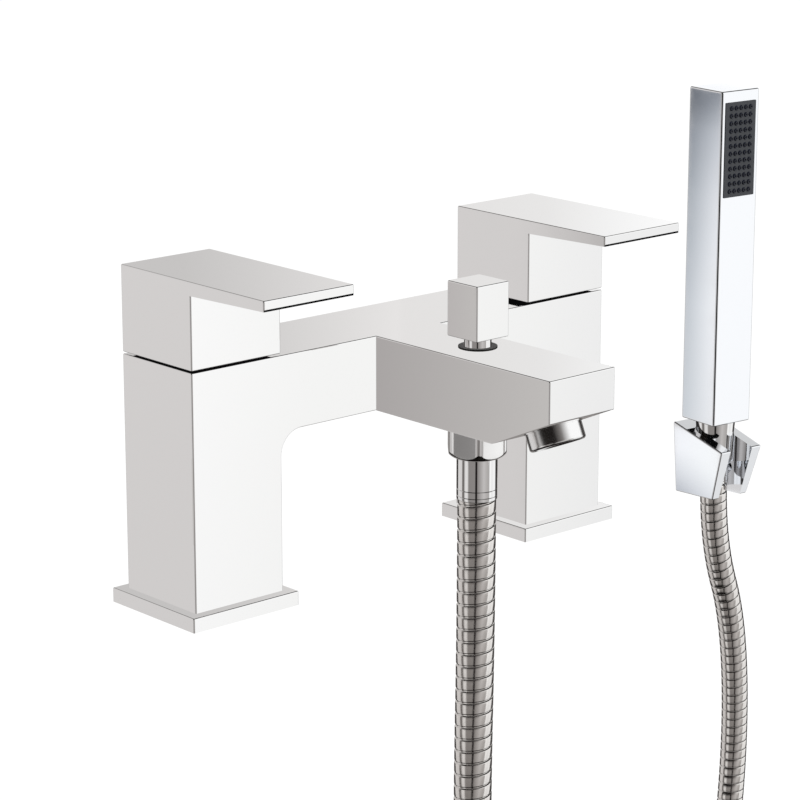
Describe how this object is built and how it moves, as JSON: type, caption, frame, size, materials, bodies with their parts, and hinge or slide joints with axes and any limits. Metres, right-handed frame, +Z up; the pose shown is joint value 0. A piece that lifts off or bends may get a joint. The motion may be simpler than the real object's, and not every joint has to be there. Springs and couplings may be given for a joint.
{
  "type": "bath shower mixer",
  "caption": "Square deck-mounted bath shower mixer with lever valves, a diverter spout, and a stick handset on a metal hose in a wall bracket.",
  "frame": {"origin": "on the deck plane, midway between the centres of the two inlets", "axes": "+X from the left inlet to the right inlet, -Y along the spout towards the user, +Z up out of the deck"},
  "size_m": [0.6156, 0.374, 0.7634],
  "materials": {
    "polished_chrome": "mirror-polished chrome plate",
    "machined_brass": "machined",
    "stainless_steel": "bright drawn",
    "hose_steel": "polished interlocked strip",
    "black_rubber": "matt",
    "nozzle_rubber": "matt",
    "ceramic_disc": "lapped ceramic",
    "black_plastic": "moulded",
    "white_plastic": "moulded",
    "spray_plastic": "satin moulded",
    "clear_liner": "extruded"
  },
  "bodies": {
    "root": {"aerator_housing": "polished_chrome", "aerator_insert": "white_plastic", "aerator_seal": "black_rubber", "body_casting": "polished_chrome", "check_valve": "white_plastic", "diverter_bush": "black_plastic", "diverter_seal_ring": "black_rubber", "diverter_spring": "stainless_steel", "hose_liner": "clear_liner", "hose_nut": "polished_chrome", "hose_outlet_nipple": "machined_brass", "left_base_plate": "polished_chrome", "left_deck_seal": "black_rubber", "left_fixed_disc": "ceramic_disc", "left_inlet_socket": "machined_brass", "left_inlet_strainer": "stainless_steel", "left_valve_body": "machined_brass", "left_valve_seal": "black_rubber", "mixer_hose_ferrule": "polished_chrome", "outlet_washer": "black_rubber", "right_base_plate": "polished_chrome", "right_deck_seal": "black_rubber", "right_fixed_disc": "ceramic_disc", "right_inlet_socket": "machined_brass", "right_inlet_strainer": "stainless_steel", "right_valve_body": "machined_brass", "right_valve_seal": "black_rubber", "shower_hose": "hose_steel", "wall_bracket": "polished_chrome"},
    "left_lever": {"left_lever_handle": "polished_chrome", "left_lever_screw": "stainless_steel", "left_lever_plug": "polished_chrome", "left_valve_spindle": "machined_brass", "left_moving_disc": "ceramic_disc"},
    "right_lever": {"right_lever_handle": "polished_chrome", "right_lever_screw": "stainless_steel", "right_lever_plug": "polished_chrome", "right_valve_spindle": "machined_brass", "right_moving_disc": "ceramic_disc"},
    "diverter": {"diverter_knob": "polished_chrome", "diverter_stem": "polished_chrome", "diverter_valve": "machined_brass", "diverter_washer": "black_rubber"},
    "hose_end": {"handset_hose_ferrule": "polished_chrome"},
    "handset": {"cone_nut": "polished_chrome", "handset_washer": "black_rubber", "handset_inlet": "machined_brass", "flow_washer": "white_plastic", "handset_shell": "polished_chrome", "handset_water_tray": "white_plastic", "spray_plate": "spray_plastic", "spray_nozzles": "nozzle_rubber"}
  },
  "joints": [
    {"name": "left_lever_turn", "type": "hinge", "parent": "root", "child": "left_lever", "pos_m": [-0.09, 0, 0.1034], "axis": [0, 0, 1], "range_deg": [-90, 0]},
    {"name": "right_lever_turn", "type": "hinge", "parent": "root", "child": "right_lever", "pos_m": [0.09, 0, 0.1034], "axis": [0, 0, 1], "range_deg": [0, 90]},
    {"name": "diverter_lift", "type": "slide", "parent": "root", "child": "diverter", "axis": [0, 0, 1], "range_m": [0, 0.007], "stiffness_N_per_m": 120, "deforming": ["diverter_spring"]},
    {"name": "handset_lift", "type": "slide", "parent": "root", "child": "hose_end", "axis": [0, 0, 1], "range_m": [0, 0.06]},
    {"name": "handset_swivel", "type": "hinge", "parent": "hose_end", "child": "handset", "pos_m": [0.467, 0.231, -0.082], "axis": [0, 0, 1], "range_deg": [-90, 90]}
  ]
}
